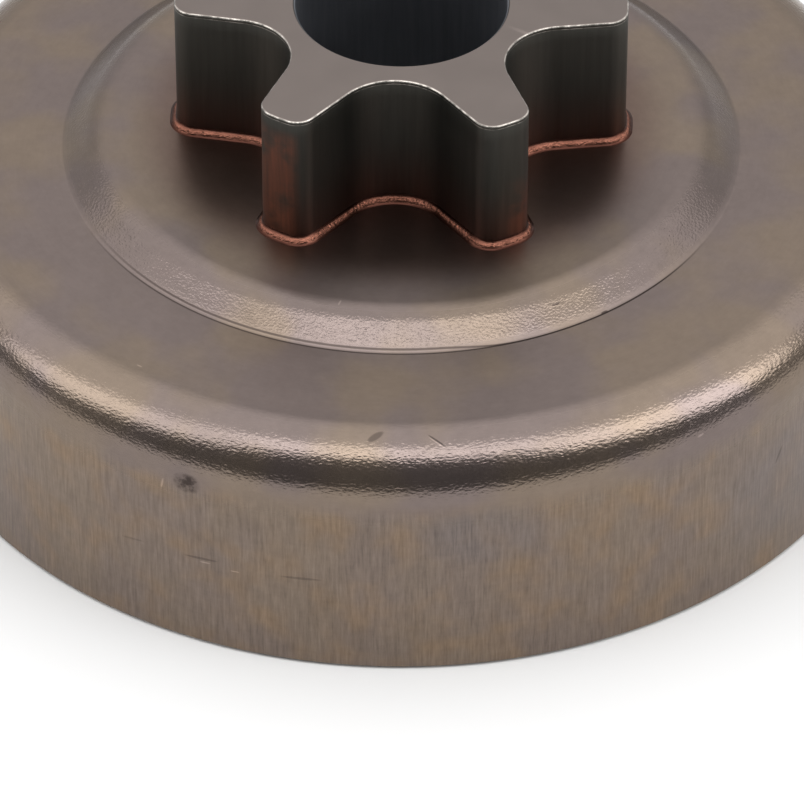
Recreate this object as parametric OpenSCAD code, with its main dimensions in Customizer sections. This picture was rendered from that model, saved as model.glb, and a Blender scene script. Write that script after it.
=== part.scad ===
// Clutch drum with a chain sprocket: a cup pressed from sheet steel, open below, with a
// six-tooth spur sprocket brazed to its raised centre. Millimetres, +Z up. The origin is
// on the drum's axis, in the plane of the open rim. One tooth gap faces -Y.

/* [Cup] */
// Outside radius of the cup's wall
cup_r = 33.6; // [32:0.1:38]
// Height of the flat ring, from the rim
ring_h = 17.45; // [14:0.05:22]
// Thickness of the sheet
sheet = 1.8; // [1.4:0.1:2.2]
// Outside radius of the bend between the flat ring and the wall
shoulder_r = 4; // [3:0.1:6]
// Bevel on both edges of the open rim
rim_bevel = 0.25; // [0.1:0.05:0.6]

/* [Raised centre] */
// Radius at which the sloping side runs out into the flat ring
foot_r = 22.85; // [22:0.05:25]
// Height of the raised centre above the flat ring
rise = 1.63; // [1.4:0.01:2.4]
// Slope of the side, in degrees
side_slope = 32; // [25:1:36]
// Outside radius of the bend at the top of the side
brow_r = 2.6; // [2.3:0.1:3]
// Radius of the hollow bend at the bottom of the side
hollow_r = 3.6; // [2:0.1:4]

/* [Sprocket] */
// Number of teeth
teeth = 6; // [6:1:7]
// Length of the teeth along the axis
tooth_w = 9.75; // [6:0.05:14]
// Radius over the tips of the teeth
tip_r = 14.95; // [14.5:0.05:17]
// Radius at the bottom of the gaps
root_r = 8.7; // [8.5:0.05:9.5]
// Radius of the hollow at the bottom of each gap
gap_r = 3.9; // [3:0.05:4]
// Angle between each flank and the middle line of its tooth, in degrees
flank_angle = 8.8; // [5:0.1:11]
// Radius of the rounded corners of the teeth
corner_r = 1.35; // [0.8:0.05:1.5]

/* [Bore and spigot] */
// Radius of the bearing bore
bore_r = 7; // [6:0.05:7.2]
// Radius of the spigot, which fills the hole in the cup
spigot_r = 8.3; // [8:0.05:8.5]
// Length of spigot that stands out inside the cup
spigot_out = 1.9; // [0.8:0.1:4]
// Bevel at the outer mouth of the bore
mouth_bevel = 0.15; // [0.05:0.05:0.4]
// Bevel on the inner end of the spigot and of the bore
end_bevel = 0.3; // [0.1:0.05:0.5]

/* [Braze] */
// Leg of the copper fillet around the foot of the teeth
outer_leg = 0.48; // [0.3:0.02:0.8]
// Leg of the copper fillet around the spigot
inner_leg = 0.8; // [0.4:0.05:1.2]
// Depth of the fillets' hollow face, as a share of the leg
fillet_hollow = 0.12; // [0.05:0.01:0.2]

/* [Hidden] */
$fn = 128;

steel_grey = [0.47, 0.44, 0.41];
sprocket_grey = [0.40, 0.38, 0.36];
copper = [0.66, 0.42, 0.33];
past = 1;                       // how far a cutter runs past the face that it cuts

// Heights along the axis
seat_h = ring_h + rise;         // top of the raised centre, on which the teeth stand
total_h = seat_h + tooth_w;
under_h = seat_h - sheet;       // underside of the raised centre
spigot_h = under_h - spigot_out;
wall_h = ring_h - shoulder_r;   // where the straight wall ends and the shoulder starts

// The sloping side is a bend at each end of a straight stretch, and the flat top stops
// where the upper bend starts
bends_drop = (brow_r + hollow_r) * (1 - cos(side_slope));
bends_width = (brow_r + hollow_r) * sin(side_slope);
brow_x = foot_r - bends_width - (rise - bends_drop) / tan(side_slope);

// One tooth gap, in a frame with +X from the axis out along the middle of the gap
pitch = 360 / teeth;
lean = pitch / 2 + flank_angle;             // the flank's direction, from the gap's middle
gap_half = 90 - lean;                       // half the angle of the hollow at the bottom
gap_x = root_r + gap_r;
into_tooth = [-sin(lean), cos(lean)];
corner_line = [gap_x, 0] + (gap_r + corner_r) * into_tooth;
along = corner_line * [cos(lean), sin(lean)];
corner_reach = sqrt(along * along - corner_line * corner_line + pow(tip_r - corner_r, 2)) - along;
corner_at = corner_line + corner_reach * [cos(lean), sin(lean)];
corner_turn = atan2(corner_at.y, corner_at.x);

// Steps along the arcs
side_steps = 8;
shoulder_steps = 18;
gap_steps = 16;
corner_steps = 6;
tip_steps = 5;

function turn(p, a) = [p.x * cos(a) - p.y * sin(a), p.x * sin(a) + p.y * cos(a)];

function arc(centre, r, from, to, steps) =
    [for (i = [0 : steps]) centre + r * [cos(from + (to - from) * i / steps),
                                         sin(from + (to - from) * i / steps)]];

// The outline from one tooth's middle to the next, grown by the width `grow`
function gap_outline(grow) = concat(
    arc([corner_at.x, -corner_at.y], corner_r + grow, -corner_turn, gap_half, corner_steps),
    arc([gap_x, 0], gap_r - grow, 180 + gap_half, 180 - gap_half, gap_steps),
    arc(corner_at, corner_r + grow, -gap_half, corner_turn, corner_steps),
    [for (i = [1 : tip_steps - 1])
        (tip_r + grow) * [cos(corner_turn + (pitch - 2 * corner_turn) * i / tip_steps),
                          sin(corner_turn + (pitch - 2 * corner_turn) * i / tip_steps)]]);

function tooth_outline(grow) =
    [for (k = [0 : teeth - 1]) for (p = gap_outline(grow)) turn(p, pitch * k - 90)];

// Its section: the outer skin from the spigot out to the rim, and the inner skin back
module drum_cup() {
    brow = [brow_x, seat_h - brow_r];
    hollow = [foot_r, ring_h + hollow_r];
    shoulder = [cup_r - shoulder_r, wall_h];
    color(steel_grey)
        rotate_extrude()
            polygon(concat(
                [[spigot_r, seat_h]],
                arc(brow, brow_r, 90, 90 - side_slope, side_steps),
                arc(hollow, hollow_r, 270 - side_slope, 270, side_steps),
                arc(shoulder, shoulder_r, 90, 0, shoulder_steps),
                [[cup_r, rim_bevel], [cup_r - rim_bevel, 0],
                 [cup_r - sheet + rim_bevel, 0], [cup_r - sheet, rim_bevel]],
                arc(shoulder, shoulder_r - sheet, 0, 90, shoulder_steps),
                arc(hollow, hollow_r + sheet, 270, 270 - side_slope, side_steps),
                arc(brow, brow_r - sheet, 90 - side_slope, 90, side_steps),
                [[spigot_r, under_h]]));
}

module spur_sprocket() {
    color(sprocket_grey)
        difference() {
            union() {
                translate([0, 0, seat_h])
                    linear_extrude(tooth_w)
                        polygon(tooth_outline(0));
                translate([0, 0, spigot_h + end_bevel])
                    cylinder(h = seat_h - spigot_h - end_bevel, r = spigot_r);
                translate([0, 0, spigot_h])
                    cylinder(h = end_bevel, r1 = spigot_r - end_bevel, r2 = spigot_r);
            }
            translate([0, 0, spigot_h - past])
                cylinder(h = total_h - spigot_h + 2 * past, r = bore_r);
            translate([0, 0, total_h - mouth_bevel])
                cylinder(h = 2 * mouth_bevel, r1 = bore_r, r2 = bore_r + 2 * mouth_bevel);
            translate([0, 0, spigot_h - end_bevel])
                cylinder(h = 2 * end_bevel, r1 = bore_r + 2 * end_bevel, r2 = bore_r);
        }
}

// The copper is swept along the foot of the teeth: four outlines, one for each corner of
// its section, joined into a closed skin.
module outer_braze_fillet() {
    mid = outer_leg * (0.5 - fillet_hollow / sqrt(2));
    section = [[0, 0], [outer_leg, 0], [mid, mid], [0, outer_leg]];
    rings = [for (s = section) [for (p = tooth_outline(s.x)) [p.x, p.y, seat_h + s.y]]];
    count = len(rings[0]);
    corners = len(section);
    color(copper)
        polyhedron(
            points = [for (ring = rings) for (p = ring) p],
            faces = [for (c = [0 : corners - 1]) for (i = [0 : count - 1])
                let (j = (i + 1) % count, up = (c + 1) % corners)
                each [[c * count + i, up * count + i, up * count + j],
                      [c * count + i, up * count + j, c * count + j]]]);
}

module inner_braze_fillet() {
    hollow = fillet_hollow * inner_leg;
    face_r = (inner_leg * inner_leg / 2 + hollow * hollow) / (2 * hollow);
    face_at = inner_leg / 2 + (face_r - hollow) / sqrt(2);
    color(copper)
        rotate_extrude()
            translate([spigot_r, under_h])
                difference() {
                    polygon([[0, 0], [0, -inner_leg], [inner_leg, 0]]);
                    translate([face_at, -face_at])
                        circle(r = face_r);
                }
}

drum_cup();
spur_sprocket();
outer_braze_fillet();
inner_braze_fillet();
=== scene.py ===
import math

import bmesh
import bpy
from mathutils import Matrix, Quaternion, Vector


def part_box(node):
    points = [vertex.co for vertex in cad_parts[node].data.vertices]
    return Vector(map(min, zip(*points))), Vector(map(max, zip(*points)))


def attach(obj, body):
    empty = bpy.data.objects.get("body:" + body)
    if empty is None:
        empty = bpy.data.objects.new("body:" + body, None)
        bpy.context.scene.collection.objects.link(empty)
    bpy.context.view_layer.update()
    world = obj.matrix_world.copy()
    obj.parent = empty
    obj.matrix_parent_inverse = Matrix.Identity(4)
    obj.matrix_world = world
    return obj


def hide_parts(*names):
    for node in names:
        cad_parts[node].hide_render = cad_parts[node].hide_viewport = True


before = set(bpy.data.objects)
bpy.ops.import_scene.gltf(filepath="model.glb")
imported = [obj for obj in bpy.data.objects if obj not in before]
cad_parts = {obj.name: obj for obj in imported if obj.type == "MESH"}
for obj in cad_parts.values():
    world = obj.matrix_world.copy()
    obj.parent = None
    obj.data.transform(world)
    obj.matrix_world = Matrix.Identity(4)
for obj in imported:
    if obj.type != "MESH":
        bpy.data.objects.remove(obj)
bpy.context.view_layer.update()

# Drum cup: a shallow cup pressed from sheet steel, open below, with a raised round centre.
# The press leaves the bends crinkled and a fine double crease where the raised centre
# starts. The wall is turned true, and the bare steel is tinted by the heat of brazing.
# Shade is painted into the crease lines and near the teeth, and light onto the wall's sides.
mm = 0.001
cup_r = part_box("drum_cup")[1].x
seat_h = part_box("drum_cup")[1].z
ring_h = 17.45 * mm
sheet = 1.8 * mm
shoulder_r = 4 * mm
rim_bevel = 0.25 * mm
foot_r = 22.76 * mm
side_slope = 35
brow_r = 3 * mm
hollow_r = 0.3 * mm
spigot_r = 8.3 * mm
crease_w = 0.12                 # of each of its two lines, in the material's millimetres
crease_gap = 0.3                # between them in front
wall_h = ring_h - shoulder_r
under_h = seat_h - sheet
shoulder_at = (cup_r - shoulder_r, wall_h)
hollow_at = (foot_r, ring_h + hollow_r)
bends_drop = (brow_r + hollow_r) * (1 - math.cos(math.radians(side_slope)))
bends_width = (brow_r + hollow_r) * math.sin(math.radians(side_slope))
side_drop = seat_h - ring_h - bends_drop
brow_at = (foot_r - bends_width - side_drop / math.tan(math.radians(side_slope)), seat_h - brow_r)
steps_round = 288


def arc(centre, radius, start, end, steps):
    """Points along an arc, with the angles in degrees."""
    turns = [math.radians(start + (end - start) * i / steps) for i in range(steps + 1)]
    return [(centre[0] + radius * math.cos(t), centre[1] + radius * math.sin(t)) for t in turns]


def wire(name, points, closed=False, marks=()):
    """A mesh of points joined in a line, with a number marked on each for the nodes to read."""
    mesh = bpy.data.meshes.new(name)
    edges = [(i, i + 1) for i in range(len(points) - 1)]
    if closed:
        edges.append((len(points) - 1, 0))
    mesh.from_pydata([(p[0], p[1], 0) for p in points], edges, [])
    for mark, values in dict(marks).items():
        mesh.attributes.new(mark, "FLOAT", "POINT").data.foreach_set("value", values)
    return bpy.data.objects.new(name, mesh)


class Wire:
    """An output of a node. Sums and products of wires and numbers add Math nodes."""

    def __init__(self, tree, socket):
        self.tree = tree
        self.socket = socket

    def maths(self, operation, *terms):
        return self.tree.add("ShaderNodeMath", {"operation": operation}, dict(enumerate(terms)))

    def __add__(self, other):
        return self.maths("ADD", self, other)

    def __sub__(self, other):
        return self.maths("SUBTRACT", self, other)

    def __rsub__(self, other):
        return self.maths("SUBTRACT", other, self)

    def __mul__(self, other):
        return self.maths("MULTIPLY", self, other)

    def __truediv__(self, other):
        return self.maths("DIVIDE", self, other)

    def __rtruediv__(self, other):
        return self.maths("DIVIDE", other, self)

    def __pow__(self, other):
        return self.maths("POWER", self, other)

    __radd__ = __add__
    __rmul__ = __mul__

    def rise(self, low, high):
        """0 below `low` and 1 above `high`, with a smooth rise between. `low` may be the higher."""
        return self.tree.add("ShaderNodeMapRange", {"interpolation_type": "SMOOTHSTEP"},
                             {"Value": self, "From Min": low, "From Max": high})


class Tree:
    """A node tree, with one method that adds any node."""

    def __init__(self, tree):
        self.tree = tree

    def add(self, kind, settings=(), sockets=(), out=0):
        """Sets the node's own settings, then the values or wires of its sockets. A list of
        wires goes into one socket."""
        node = self.tree.nodes.new(kind)
        for name, value in dict(settings).items():
            setattr(node, name, value)
        for name, value in dict(sockets).items():
            for part in value if isinstance(value, list) else [value]:
                if isinstance(part, Wire):
                    self.tree.links.new(part.socket, node.inputs[name])
                else:
                    node.inputs[name].default_value = part
        if isinstance(out, tuple):
            return [Wire(self, node.outputs[name]) for name in out]
        return out is not None and Wire(self, node.outputs[out])


class Maker(Tree):
    """A Geometry Nodes tree with named inputs, which makes a plain mesh."""

    def __init__(self, name):
        super().__init__(bpy.data.node_groups.new(name, "GeometryNodeTree"))
        self.named = {}
        self.start = self.ask("Geometry", "Geometry")
        self.tree.interface.new_socket("Geometry", in_out="OUTPUT", socket_type="NodeSocketGeometry")

    def ask(self, name, kind):
        """A named input."""
        item = self.tree.interface.new_socket(name, in_out="INPUT", socket_type="NodeSocket" + kind)
        self.named[name] = item.identifier
        return self.add("NodeGroupInput", out=name)

    def swept(self, step, section, repeats):
        """A section swept along a path, which is one step repeated round the axis."""
        index = self.add("GeometryNodeInputIndex")
        turn = self.add("ShaderNodeCombineXYZ", {}, {"Z": index * math.tau / repeats})
        steps = self.add("GeometryNodeInstanceOnPoints", {}, {
            "Points": self.add("GeometryNodePoints", {}, {"Count": repeats}),
            "Instance": step,
            "Rotation": self.add("FunctionNodeEulerToRotation", {}, {"Euler": turn})})
        path = self.add("GeometryNodeMeshToCurve", {}, {"Mesh": self.welded(self.real(steps))})
        path = self.add("GeometryNodeSetCurveNormal", {"mode": "Z_UP"}, {"Curve": path})
        drawn = self.add("GeometryNodeObjectInfo", {}, {"Object": section}, out="Geometry")
        profile = self.add("GeometryNodeMeshToCurve", {}, {"Mesh": drawn})
        return self.add("GeometryNodeCurveToMesh", {}, {"Curve": path, "Profile Curve": profile})

    def real(self, instances):
        return self.add("GeometryNodeRealizeInstances", {}, {"Geometry": instances})

    def welded(self, geometry):
        return self.add("GeometryNodeMergeByDistance", {}, {"Geometry": geometry, "Distance": weld})

    def mark(self, name):
        """The number that a wire's points carry under this name."""
        return self.add("GeometryNodeInputNamedAttribute", {"data_type": "FLOAT"}, {"Name": name})

    def lumped(self, geometry, height, size, seed, weight):
        """The surface pushed in by soft lumps, so that it stays within its own size."""
        noise = self.add("ShaderNodeTexNoise", {"noise_dimensions": "4D"},
                         {"W": seed, "Scale": 1 / size, "Detail": 3.0})
        push = (noise - 0.8) * 2 * height * weight
        offset = self.add("ShaderNodeVectorMath", {"operation": "SCALE"},
                          {0: self.add("GeometryNodeInputNormal"), "Scale": push})
        return self.add("GeometryNodeSetPosition", {}, {"Geometry": geometry, "Offset": offset})

    def finished(self, geometry, soft_angle):
        """Smooth shading, but for edges sharper than the angle."""
        angle = self.add("GeometryNodeInputMeshEdgeAngle")
        sharp = self.add("FunctionNodeCompare", {"data_type": "FLOAT", "operation": "GREATER_THAN"},
                         {0: angle, 1: soft_angle})
        smooth = self.add("GeometryNodeSetShadeSmooth", {"domain": "FACE"}, {"Geometry": geometry})
        return self.add("GeometryNodeSetShadeSmooth", {"domain": "EDGE"},
                        {"Geometry": smooth, "Selection": sharp, "Shade Smooth": False})

    def capped(self, geometry, level):
        """A flat face between the open edges that lie at one height."""
        height = self.add("ShaderNodeSeparateXYZ", {}, {0: self.add("GeometryNodeInputPosition")},
                          out="Z")
        near = self.add("FunctionNodeCompare", {"data_type": "FLOAT", "operation": "EQUAL"},
                        {0: height, 1: level, "Epsilon": weld})
        faces = self.add("GeometryNodeInputMeshEdgeNeighbors")
        lone = self.add("FunctionNodeCompare", {"data_type": "FLOAT", "operation": "EQUAL"},
                        {0: faces, 1: 1.0})
        rim = self.add("GeometryNodeSeparateGeometry", {"domain": "EDGE"},
                       {"Geometry": geometry, "Selection": near * lone})
        loops = self.add("GeometryNodeMeshToCurve", {}, {"Mesh": rim})
        face = self.add("GeometryNodeFillCurve", {"mode": "TRIANGLES"}, {"Curve": loops})
        lift = self.add("ShaderNodeCombineXYZ", {}, {"Z": level})
        return self.add("GeometryNodeTransform", {}, {"Geometry": face, "Translation": lift})

    def dressed(self, geometry, material, where=True):
        return self.add("GeometryNodeSetMaterial", {},
                        {"Geometry": geometry, "Selection": where, "Material": material})

    def end(self, geometry):
        self.add("NodeGroupOutput", {}, {0: geometry}, out=None)

    def make(self, name, step, values):
        """The plain mesh that the tree makes from one step of its path."""
        bpy.context.scene.collection.objects.link(step)
        modifier = step.modifiers.new("made by nodes", "NODES")
        modifier.node_group = self.tree
        for label, value in values.items():
            modifier[self.named[label]] = value
        seen = step.evaluated_get(bpy.context.evaluated_depsgraph_get())
        mesh = bpy.data.meshes.new_from_object(seen)
        for drawn in [step] + [v for v in values.values() if isinstance(v, bpy.types.Object)]:
            bpy.data.objects.remove(drawn)
        outward = bmesh.new()
        outward.from_mesh(mesh)
        bmesh.ops.recalc_face_normals(outward, faces=outward.faces)
        outward.to_mesh(mesh)
        outward.free()
        piece = bpy.data.objects.new(name, mesh)
        bpy.context.scene.collection.objects.link(piece)
        return piece


class Finish(Tree):
    """A metal's material, with patterns laid out in millimetres on the object."""

    def __init__(self, name):
        self.material = bpy.data.materials.new(name)
        self.material.use_nodes = True
        super().__init__(self.material.node_tree)
        self.tree.nodes.clear()
        place = self.add("ShaderNodeTexCoord", out="Object")
        self.place = self.scaled(place, 1 / mm)
        self.x, self.y, self.z = self.add("ShaderNodeSeparateXYZ", {}, {0: self.place},
                                          out=("X", "Y", "Z"))
        self.r = (self.x * self.x + self.y * self.y) ** 0.5
        self.along = self.z - self.r

    def scaled(self, vector, factor):
        return self.add("ShaderNodeVectorMath", {"operation": "SCALE"},
                        {0: vector, "Scale": factor})

    def stretched(self, round_by, along_by):
        """Places on the skin, stretched round the axis and along the section."""
        reach = round_by * cup_r / mm / self.r
        return self.add("ShaderNodeCombineXYZ", {}, {
            "X": self.x * reach, "Y": self.y * reach, "Z": self.along * along_by})

    def noise(self, at, scale, detail=2.0, roughness=0.5):
        return self.add("ShaderNodeTexNoise", {}, {
            "Vector": at, "Scale": scale, "Detail": detail, "Roughness": roughness})

    def cells(self, at, scale, feature="F1"):
        return self.add("ShaderNodeTexVoronoi", {"feature": feature},
                        {"Vector": at, "Scale": scale}, out="Distance")

    def mix(self, share, low, high, blend="MIX"):
        """Two colours mixed. A share of 0 is all `low`."""
        return self.add("ShaderNodeMix", {"data_type": "RGBA", "blend_type": blend},
                        {0: share, 6: low, 7: high}, out=2)

    def lit(self, colour, level):
        """A colour made lighter or darker by a number."""
        return self.scaled(colour if isinstance(colour, Wire) else colour[:3], level)

    def line(self, radius, width):
        """1 on a thin ring of the skin and 0 off it."""
        off = (self.r - radius) / (width / 2)
        return (off * off).rise(2.0, 0.0)

    def spot(self, turn, along, length, width, lean=0, soft=0.5):
        """1 on an oblong spot of the skin and 0 off it. `turn` is in degrees from the front."""
        a = math.radians(turn)
        face = (math.sin(a), -math.cos(a))
        side = (math.cos(a), math.sin(a))
        across = self.x * side[0] + self.y * side[1]
        ahead = (self.x * face[0] + self.y * face[1]).rise(0.0, 0.1)
        c, s = math.cos(math.radians(lean)), math.sin(math.radians(lean))
        down = self.along - along
        u = (across * c + down * s) / (length / 2)
        v = (down * c - across * s) / (width / 2)
        return (u * u + v * v).rise(1 + soft, 1 - soft) * ahead

    def metal(self, colour, roughness, height):
        """The shader. `height` is the relief of the skin in millimetres."""
        bump = self.add("ShaderNodeBump", {}, {"Height": height, "Distance": mm, "Strength": 1.0})
        shader = self.add("ShaderNodeBsdfPrincipled", {}, {
            "Base Color": colour, "Roughness": roughness, "Metallic": 1.0, "Normal": bump})
        self.add("ShaderNodeOutputMaterial", {}, {"Surface": shader}, out=None)
        return self.material


def paint(red, green, blue):
    """A colour given as a screen shows it, from 0 to 255."""
    parts = [c / 255 for c in (red, green, blue)]
    return tuple(p / 12.92 if p <= 0.04045 else ((p + 0.055) / 1.055) ** 2.4 for p in parts) + (1,)


# Scuffs on the cup, as turn in degrees, place along the section, length, width, lean and share
dark_marks = (
    (-29, -26.6, 1.6, 0.16, 8, 0.25), (-20.5, -26.34, 2.2, 0.2, 4, 0.4),
    (-9, -26.36, 2.6, 0.2, 2, 0.35), (49, -24.4, 1.3, 0.22, 62, 0.4),
    (37.5, -5.2, 0.5, 0.2, 0, 0.8), (30, -2.9, 0.6, 0.25, 5, 0.6),
    (6.2, -14.0, 1.5, 0.14, -48, 0.7), (-1, -13.6, 1.3, 0.5, 48, 0.5))
bright_marks = (
    (-20, -26.6, 0.7, 0.12, 4), (-16.5, -26.75, 0.6, 0.1, 2),
    (6.2, -14.2, 1.4, 0.1, -48), (-25, -20.9, 0.8, 0.14, 80), (37, -18.9, 0.5, 0.18, 10),
    (-33, -11.8, 0.4, 0.12, 0), (-9.5, -0.8, 0.5, 0.12, 80))


def pressed_steel():
    """Bare sheet, tinted brown and violet, crinkled on its bends and streaked on its wall.
    Shade is painted in the crease and near the teeth, and light on the wall's two sides.
    """
    f = Finish("pressed_steel")
    brown_grey = paint(127, 113, 101)
    violet_grey = paint(120, 108, 104)
    ochre = paint(134, 113, 92)
    blue_grey = paint(112, 107, 109)
    # Painted shade: the tone of the raised centre near the teeth
    shaded_by_teeth = paint(104, 84, 77)
    # Dark tone for the scuffs and the blotch, and for the crease lines as painted shade
    dirt_and_crease_shade = paint(58, 50, 47)
    cloud = f.noise(f.place, 0.13, 2.0)
    stain = f.noise(f.place, 0.3, 2.0)
    mottle = f.noise(f.place, 1.4, 3.0, 0.65)
    colour = f.mix(cloud.rise(0.4, 0.62), violet_grey, brown_grey)
    on_wall = f.along.rise(-19.5, -21.5)
    colour = f.mix(on_wall * 0.6, colour, brown_grey)
    colour = f.mix(stain.rise(0.4, 0.75) * on_wall * 0.7, colour, ochre)
    patches = f.spot(50, -27.0, 12, 8, soft=0.7) + f.spot(11, -22.6, 7, 4, soft=0.8)
    colour = f.mix(patches * 0.4, colour, blue_grey)
    # Painted shade: the raised centre is painted darker and redder near the teeth.
    near_teeth = f.r.rise(18.8, 14.5)
    colour = f.mix(near_teeth * 0.8, colour, shaded_by_teeth)

    # Each bend is burnished by the die and crinkled. The flats between are dull.
    bend = f.along.rise(-11.4, -14.2) * f.along.rise(-22.0, -19.6)
    side = f.along.rise(-5.35, -4.2) * f.along.rise(-0.4, -2.0)
    wrinkle = f.noise(f.stretched(0.6, 1.0), 5.6, 2.0, 0.55)
    pits = f.cells(f.stretched(0.7, 1.0), 4.8, "SMOOTH_F1")
    streak = f.noise(f.stretched(1.0, 0.07), 6.0, 3.0, 0.7)
    brushed = f.noise(f.stretched(0.12, 1.0), 5.0, 2.0, 0.6)
    level = 1.0 + ((streak - 0.5) * 0.9 - 0.08) * on_wall + (stain - 0.5) * 0.12
    # Painted light: the wall is painted lighter towards both sides, where the side lights fall on
    # it.
    level = level + f.x * f.x * on_wall * 0.0002 - side * 0.12
    level = level + (mottle - 0.5) * 0.22 + (brushed - 0.5) * 0.1

    # The crease has two lines in front, which run into one at the right. They are pressed in a
    # little as bump, and their darkness is painted shade.
    apart = crease_gap * f.x.rise(9.0, 3.0)
    lines = f.line(foot_r / mm, crease_w) + f.line(foot_r / mm - apart, crease_w)
    lines = lines * f.y.rise(-9.0, -18.0)
    blotch = f.spot(-22, -20.3, 1.8, 1.4, soft=0.6) * (mottle.rise(0.6, 0.4) * 0.6 + 0.3)
    # The crease lines darken the colour as painted shade; the blotch and the scuffs are marks on it.
    dark = lines * 0.75 + blotch
    for turn, along, length, width, lean, share in dark_marks:
        dark = dark + f.spot(turn, along, length, width, lean) * share
    bright = f.spot(*bright_marks[0])
    for mark in bright_marks[1:]:
        bright = bright + f.spot(*mark)
    colour = f.mix(dark, f.lit(colour, level + bright * 0.5), dirt_and_crease_shade)
    height = ((wrinkle * 0.017 + pits * 0.013) * (bend + side) + streak * on_wall * 0.002
              + mottle * 0.002 - lines * 0.003)
    roughness = 0.42 - (bend + side) * 0.23 - on_wall * 0.1 + (cloud - 0.5) * 0.08
    roughness = roughness - near_teeth * 0.12
    return f.metal(colour, roughness, height)


def pressed_steel_inside():
    """The same sheet inside the cup, with the fine rings of the turned friction face."""
    f = Finish("pressed_steel_inside")
    cloud = f.noise(f.place, 0.15, 3.0)
    colour = f.mix(cloud.rise(0.35, 0.65), paint(128, 120, 114), paint(144, 132, 120))
    rings = f.noise(f.stretched(0.03, 1.0), 9.0, 3.0, 0.6)
    on_wall = f.r.rise(31.0, 31.6)
    level = 0.95 + (rings - 0.5) * on_wall * 0.35
    height = rings * on_wall * 0.004 + f.noise(f.place, 5.0, 3.0) * 0.001
    return f.metal(f.lit(colour, level), 0.3 + (cloud - 0.5) * 0.1, height)


outer_skin = (
    [(spigot_r, seat_h)]
    + arc(brow_at, brow_r, 90, 90 - side_slope, 14)
    + arc(hollow_at, hollow_r, 270 - side_slope, 270, 5)
    + arc(shoulder_at, shoulder_r, 90, 0, 40)
    + [(cup_r, rim_bevel), (cup_r - rim_bevel, 0)])
inner_skin = (
    [(cup_r - sheet + rim_bevel, 0), (cup_r - sheet, rim_bevel)]
    + arc(shoulder_at, shoulder_r - sheet, 0, 90, 24)
    + arc(hollow_at, hollow_r + sheet, 270, 270 - side_slope, 12)
    + arc(brow_at, brow_r - sheet, 90 - side_slope, 90, 8)
    + [(spigot_r, under_h)])
weld = 0.002 * mm
path_r = 20 * mm                # radius at which the cup's section is swept round

# Curve to Mesh lays a section's x outwards from the path and its y downwards
cup_section = wire("cup_section", [(r - path_r, -z) for r, z in outer_skin + inner_skin], True,
                   {"inside": [0.0] * len(outer_skin) + [1.0] * len(inner_skin)})
turned = Maker("turned_section")
turned_ring = turned.swept(turned.start, turned.ask("Section", "Object"),
                           turned.ask("Steps round", "Int"))
turned_ring = turned.lumped(turned_ring, turned.ask("Wave height", "Float"),
                            turned.ask("Wave size", "Float"), turned.ask("Seed", "Float"), 1.0)
turned_ring = turned.finished(turned_ring, turned.ask("Soft angle", "Float"))
turned_ring = turned.dressed(turned_ring, turned.ask("Outer finish", "Material"))
turned_ring = turned.dressed(turned_ring, turned.ask("Inner finish", "Material"),
                             turned.mark("inside"))
turned.end(turned_ring)


def step_round(radius, steps):
    """One short step of a circle."""
    return wire("step_round", arc((0, 0), radius, 0, 360 / steps, 1))


drum_cup = turned.make("drum_cup_pressing", step_round(path_r, steps_round), {
    "Section": cup_section, "Steps round": steps_round, "Wave height": 0.008 * mm,
    "Wave size": 9 * mm, "Seed": 3.0, "Soft angle": math.radians(25),
    "Outer finish": pressed_steel(), "Inner finish": pressed_steel_inside()})
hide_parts("drum_cup")
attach(drum_cup, "root")

# Spur sprocket: six teeth cut along a short steel blank, with the bearing bore through it
# and a spigot that fills the cup's hole. Tumbling has burnished the edges of its end face,
# which are painted near white, as wear and as a painted highlight.
# It stands on the raised centre, to which it is brazed.
tooth_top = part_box("spur_sprocket")[1].z
teeth = 6
tip_r = 14.95 * mm
root_r = 8.7 * mm
gap_r = 3.9 * mm
flank_angle = 8.8
corner_r = 1.35 * mm
bore_r = 7 * mm
spigot_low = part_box("spur_sprocket")[0].z
mouth_bevel = 0.15 * mm
end_bevel = 0.3 * mm
pace = 0.16 * mm                # between the points along the teeth's outline
pitch = 360 / teeth
lean = math.radians(pitch / 2 + flank_angle)
gap_half = 90 - pitch / 2 - flank_angle
gap_x = root_r + gap_r
corner_line = Vector((gap_x, 0)) + (gap_r + corner_r) * Vector((-math.sin(lean), math.cos(lean)))
up_flank = Vector((math.cos(lean), math.sin(lean)))
reach = corner_line.dot(up_flank)
reach = math.sqrt(reach ** 2 - corner_line.length_squared + (tip_r - corner_r) ** 2) - reach
corner_at = corner_line + reach * up_flank
corner_turn = math.degrees(math.atan2(corner_at.y, corner_at.x))


def paced(centre, radius, start, end):
    """An arc with its points a pace apart."""
    length = radius * math.radians(abs(end - start))
    return arc(centre, radius, start, end, max(2, round(length / pace)))


def straight(start, end):
    """The points between two others, a pace apart."""
    a, b = Vector(start), Vector(end)
    count = max(2, round((b - a).length / pace))
    return [tuple(a.lerp(b, i / count)) for i in range(1, count)]


def gap_step():
    """The outline from one tooth's middle to the next, with its gap facing the front."""
    tip = paced((0, 0), tip_r, -pitch / 2, -corner_turn)
    lower = paced((corner_at.x, -corner_at.y), corner_r, -corner_turn, gap_half)
    hollow = paced((gap_x, 0), gap_r, 180 + gap_half, 180 - gap_half)
    upper = [(x, -y) for x, y in reversed(lower)]
    points = (tip + lower[1:] + straight(lower[-1], hollow[0]) + hollow
              + straight(hollow[-1], upper[0]) + upper + [(x, -y) for x, y in reversed(tip)][1:])
    return wire("gap_step", [(y, -x) for x, y in points])


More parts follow.
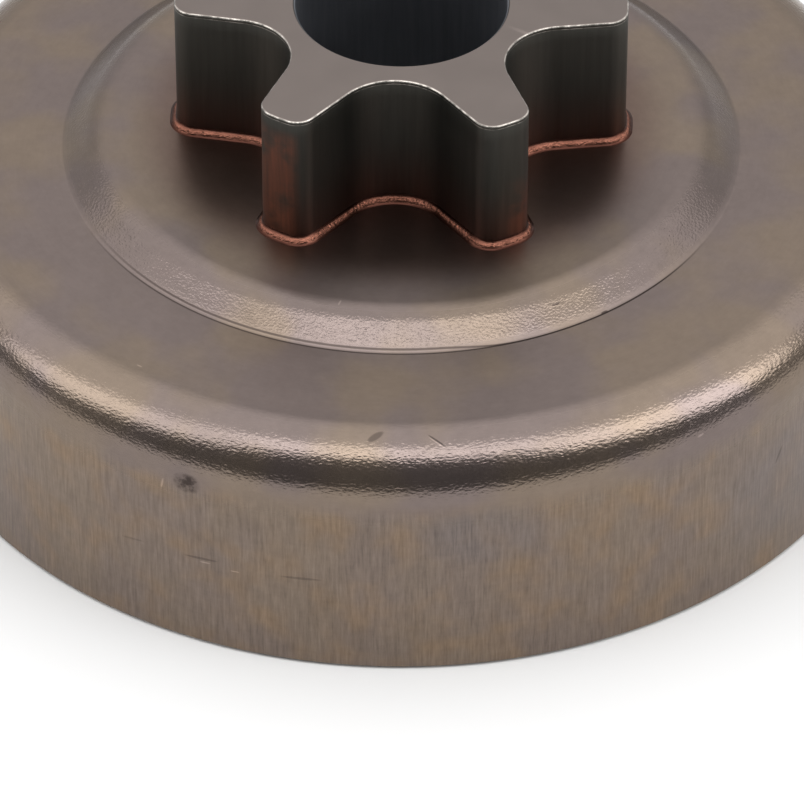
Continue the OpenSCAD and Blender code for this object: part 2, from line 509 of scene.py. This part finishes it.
def cut_steel():
    """Machined steel: a smooth clouded end face, drawn flanks, and burnished edges that are
    also painted near white as a highlight.
    """
    f = Finish("cut_steel")
    end_face = paint(128, 118, 113)
    flank = paint(70, 69, 65)
    flank_low = paint(84, 58, 50)
    copper_wash = paint(122, 79, 64)
    bore = paint(134, 136, 142)
    # Worn edges, painted near white as wear and as a painted highlight
    burnished_and_highlight = paint(212, 204, 196)
    top = f.z.rise(28.80, 28.82)
    cloud = f.noise(f.place, 0.35, 3.0)
    drawn = f.add("ShaderNodeCombineXYZ", {}, {"X": f.x, "Y": f.y, "Z": f.z * 0.05})
    streak = f.noise(drawn, 3.0, 4.0, 0.65)
    washed = f.z.rise(24.5, 19.0) * (f.noise(drawn, 0.9, 2.0) * 0.8 + 0.5)
    colour = f.mix(washed * 0.8, flank, flank_low)
    patchy = f.noise(f.place, 0.6, 3.0).rise(0.25, 0.55)
    left_tip = f.x.rise(-5.9, -6.9) * f.x.rise(-10.5, -9.8) * f.y.rise(-10.0, -11.2)
    right_tip = f.x.rise(6.9, 8.2) * f.y.rise(-9.0, -10.5) * f.z.rise(24.5, 22.0)
    wash = left_tip * f.z.rise(28.2, 26.8) + right_tip * 0.8
    colour = f.mix(wash * patchy * (streak + 0.2), colour, copper_wash)
    colour = f.mix(f.r.rise(7.1, 7.05), colour, bore)
    colour = f.mix(top, f.lit(colour, 0.75 + streak * 0.5), f.lit(end_face, 0.94 + cloud * 0.12))
    worn = f.add("ShaderNodeAttribute", {"attribute_name": "worn"}, out="Fac")
    worn = worn * (f.noise(f.place, 1.8, 4.0, 0.65).rise(0.36, 0.66) * 0.8 + 0.2)
    # Painted highlight and wear: the edges of the end face are painted near white.
    colour = f.mix(worn, colour, burnished_and_highlight)
    height = streak * (1 - top) * 0.0015 + f.noise(f.place, 6.0, 3.0) * 0.0006
    roughness = 0.46 - top * 0.16 + (cloud - 0.5) * 0.08 - worn * 0.15
    return f.metal(colour, roughness, height)


edge_w = 0.11 * mm
flank_profile = [
    (-edge_w, 0), (-0.08 * mm, -0.008 * mm), (-0.045 * mm, -0.025 * mm), (-0.02 * mm, -0.05 * mm),
    (-0.005 * mm, -0.09 * mm), (0, -0.12 * mm), (0, -0.2 * mm), (-0.012 * mm, -0.25 * mm),
    (0, -0.31 * mm), (0, -1.2 * mm)]
flank_wear_and_highlight = [0.0, 0.6, 1.0, 1.0, 0.5, 0.0, 0.0, 0.45, 0.0, 0.0]
levels = 6
for i in range(1, levels + 1):
    flank_profile.append((0, -1.2 * mm + (seat_h - tooth_top + 1.2 * mm) * i / levels))
    flank_wear_and_highlight.append(0.0)
flank_section = wire("flank_section", [(x, -tooth_top - z) for x, z in flank_profile], False,
                     {"worn": flank_wear_and_highlight})
bore_profile = [
    (spigot_r, seat_h), (spigot_r, spigot_low + end_bevel), (spigot_r - end_bevel, spigot_low),
    (bore_r + end_bevel, spigot_low), (bore_r, spigot_low + end_bevel),
    (bore_r, tooth_top - mouth_bevel), (bore_r + mouth_bevel, tooth_top)]
bore_section = wire("bore_section", [(r - path_r, -z) for r, z in bore_profile], False,
                    {"worn": [0.0] * len(bore_profile)})

blank = Maker("sprocket_blank")
round_step = blank.add("GeometryNodeObjectInfo", {}, {
    "Object": blank.ask("Step round", "Object")}, out="Geometry")
toothed = blank.swept(blank.start, blank.ask("Flank section", "Object"), blank.ask("Teeth", "Int"))
toothed = blank.lumped(toothed, blank.ask("Edge wave", "Float"), blank.ask("Wave size", "Float"),
                       blank.ask("Seed", "Float"), blank.mark("worn"))
bored = blank.swept(round_step, blank.ask("Bore section", "Object"),
                    blank.ask("Steps round", "Int"))
skins = blank.add("GeometryNodeJoinGeometry", {}, {0: [toothed, bored]})
ends = [blank.capped(skins, blank.ask(name, "Float")) for name in ("Top height", "Foot height")]
closed = blank.welded(blank.add("GeometryNodeJoinGeometry", {}, {0: [skins] + ends}))
closed = blank.finished(closed, blank.ask("Soft angle", "Float"))
blank.end(blank.dressed(closed, blank.ask("Finish", "Material")))
spur_sprocket = blank.make("spur_sprocket_cut", gap_step(), {
    "Step round": step_round(path_r, 144), "Flank section": flank_section, "Teeth": teeth,
    "Bore section": bore_section, "Steps round": 144, "Edge wave": 0.012 * mm,
    "Wave size": 0.5 * mm, "Seed": 8.0, "Top height": tooth_top, "Foot height": seat_h,
    "Soft angle": math.radians(18), "Finish": cut_steel()})
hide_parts("spur_sprocket")
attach(spur_sprocket, "root")

# Outer braze fillet: copper that ran in a furnace into the corner between the teeth and the
# raised centre. It set with a crinkled skin, and its margins are painted dark brown as shade.
outer_leg = 0.48 * mm


def copper():
    """Set copper: pink where it is thick, crinkled all over, and painted dark brown at its margins
    as shade.
    """
    f = Finish("braze_copper")
    core = f.add("ShaderNodeAttribute", {"attribute_name": "core"}, out="Fac")
    cloud = f.noise(f.place, 0.5, 3.0)
    # Painted shade: the fillet's margins are painted dark brown, its thick middle pink.
    colour = f.mix(core, paint(66, 40, 33), paint(160, 106, 88))
    colour = f.lit(colour, 0.35 + cloud * 0.9)
    wrinkle = f.noise(f.place, 4.5, 3.0, 0.6)
    return f.metal(colour, 0.26, wrinkle * core * 0.16)


def fillet(leg, hollow, steps):
    """The fillet's face, from the wall down to the floor, with the marks of its thick part."""
    points, core = [], []
    for i in range(steps + 1):
        t = i / steps
        sink = hollow * leg * math.sin(math.pi * t)
        points.append((leg * t - sink * math.sqrt(0.5), leg * (1 - t) - sink * math.sqrt(0.5)))
        core.append(math.sin(math.pi * t) ** 4)
    return points, core


face, core = fillet(outer_leg, 0.1, 12)
braze_section = wire("braze_section", [(x, -seat_h - z) for x, z in face + [(0, 0)]], True,
                     {"core": core + [0.0]})
bead = Maker("braze_bead")
run = bead.swept(bead.start, bead.ask("Section", "Object"), bead.ask("Steps round", "Int"))
run = bead.lumped(run, bead.ask("Lump height", "Float"), bead.ask("Lump size", "Float"),
                  bead.ask("Seed", "Float"), bead.mark("core"))
run = bead.finished(run, bead.ask("Soft angle", "Float"))
bead.end(bead.dressed(run, bead.ask("Finish", "Material")))
braze_copper = copper()
outer_braze = bead.make("outer_braze_run", gap_step(), {
    "Section": braze_section, "Steps round": teeth, "Lump height": 0.03 * mm,
    "Lump size": 0.7 * mm, "Seed": 5.0, "Soft angle": math.radians(40), "Finish": braze_copper})
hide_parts("outer_braze_fillet")
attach(outer_braze, "root")

# Inner braze fillet: the same copper, drawn through the joint into the corner between the
# spigot and the underside of the raised centre.
inner_leg = 0.8 * mm
face, core = fillet(inner_leg, 0.12, 12)
inner_section = wire("inner_section", [(spigot_r - path_r + x, -under_h + z)
                                       for x, z in face + [(0, 0)]], True, {"core": core + [0.0]})
inner_braze = bead.make("inner_braze_run", step_round(path_r, 200), {
    "Section": inner_section, "Steps round": 200, "Lump height": 0.04 * mm,
    "Lump size": 1.2 * mm, "Seed": 11.0, "Soft angle": math.radians(40), "Finish": braze_copper})
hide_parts("inner_braze_fillet")
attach(inner_braze, "root")

# Studio: a pale floor under the rim, one soft light overhead in front, one at each side and
# a dark card low in front, so that the bends show bright ridges over dark bands.
floor_half = 1.5
floor_mesh = bpy.data.meshes.new("floor")
floor_mesh.from_pydata([(-floor_half, -floor_half, 0), (floor_half, -floor_half, 0),
                        (floor_half, floor_half, 0), (-floor_half, floor_half, 0)],
                       [], [(0, 1, 2, 3)])
floor = bpy.data.objects.new("floor", floor_mesh)
bpy.context.scene.collection.objects.link(floor)


def plain(name, colour):
    """A matt surface of one colour, or with the greys of a named attribute."""
    material = bpy.data.materials.new(name)
    material.use_nodes = True
    tree = Tree(material.node_tree)
    tree.tree.nodes.clear()
    if isinstance(colour, str):
        colour = tree.add("ShaderNodeAttribute", {"attribute_name": colour})
    shader = tree.add("ShaderNodeBsdfDiffuse", {}, {"Color": colour})
    tree.add("ShaderNodeOutputMaterial", {}, {"Surface": shader}, out=None)
    return material


floor_mesh.materials.append(plain("pale_floor", (0.7, 0.7, 0.7, 1)))


def towards(turn, rise, distance):
    """A place seen from the drum at a turn from the front, to the right, and a rise."""
    a, e = math.radians(turn), math.radians(rise)
    return Vector((math.sin(a) * math.cos(e), -math.cos(a) * math.cos(e), math.sin(e))) * distance


def facing_drum(thing, turn, rise, roll, distance):
    """Puts a lamp there, facing the drum and rolled about that line."""
    thing.location = towards(turn, rise, distance)
    facing = (-thing.location).to_track_quat("-Z", "Y")
    thing.rotation_euler = (facing @ Quaternion((0, 0, 1), math.radians(roll))).to_euler()
    bpy.context.scene.collection.objects.link(thing)


lamp_far = 1.2
for name, turn, rise, roll, wide, high, radiance in (
        ("overhead_softbox", 0, 69, 0, 44, 18, 2.2),
        ("right_softbox", 71, 40, -47, 48, 22, 2.5),
        ("left_softbox", -71, 40, 47, 48, 22, 1.6),
        ("ceiling_panel", 180, 76, 0, 110, 58, 0.6)):
    lamp = bpy.data.lights.new(name, "AREA")
    lamp.shape = "RECTANGLE"
    lamp.size = 2 * lamp_far * math.tan(math.radians(wide / 2))
    lamp.size_y = 2 * lamp_far * math.tan(math.radians(high / 2))
    lamp.energy = radiance * 4 * lamp.size * lamp.size_y
    facing_drum(bpy.data.objects.new(name, lamp), turn, rise, roll, lamp_far)

card_far = 0.7
card_half = ((0, 58, 0.17), (22, 56, 0.17), (40, 44, 0.19), (55, 29, 0.22), (71, 23, 0.28),
             (87, 17, 0.3), (105, 12, 0.3))    # turn, rise of the top edge, tone
card_line = [(-turn, rise, tone) for turn, rise, tone in card_half[:0:-1]] + list(card_half)
card_points = [towards(turn, 0, card_far) for turn, rise, tone in card_line]
for foot, (turn, rise, tone) in list(zip(card_points, card_line)):
    card_points.append(foot + Vector((0, 0, card_far * math.tan(math.radians(rise)))))
card_mesh = bpy.data.meshes.new("dark_card")
card_mesh.from_pydata(card_points, [], [(i, i + 1, i + len(card_line) + 1, i + len(card_line))
                                        for i in range(len(card_line) - 1)])
card_mesh.attributes.new("tone", "FLOAT", "POINT").data.foreach_set(
    "value", [tone for turn, rise, tone in card_line] * 2)
card_mesh.materials.append(plain("dark_card", "tone"))
card = bpy.data.objects.new("dark_card", card_mesh)
bpy.context.scene.collection.objects.link(card)
card.visible_camera = False
card.visible_shadow = False
card.visible_diffuse = False

world = bpy.data.worlds.new("studio")
bpy.context.scene.world = world
world.use_nodes = True
world.node_tree.nodes["Background"].inputs["Color"].default_value = (0.83, 0.83, 0.83, 1)

camera_turn = 2.05
camera_rise = 39.556
camera_far = 465.17 * mm
aim = Vector((0, 0, -5.383 * mm))
view_px = 804
focal_px = 6740.65
axis_px = (401.35, 402.5)       # where the aim shows, from the frame's top left corner
camera = bpy.data.cameras.new("camera")
camera.sensor_width = 36
camera.lens = camera.sensor_width * focal_px / view_px
camera.clip_start = 0.01
camera.clip_end = 10
seen = bpy.data.objects.new("camera", camera)
seen.location = towards(camera_turn, camera_rise, camera_far)
seen.rotation_euler = (-seen.location).to_track_quat("-Z", "Y").to_euler()
to_right = seen.rotation_euler.to_matrix() @ Vector((1, 0, 0))
to_top = seen.rotation_euler.to_matrix() @ Vector((0, 1, 0))
per_px = camera_far / focal_px
seen.location += (aim + to_right * (view_px / 2 - axis_px[0]) * per_px
                  + to_top * (axis_px[1] - view_px / 2) * per_px)
bpy.context.scene.collection.objects.link(seen)
bpy.context.scene.camera = seen
bpy.context.scene.view_settings.view_transform = "Standard"
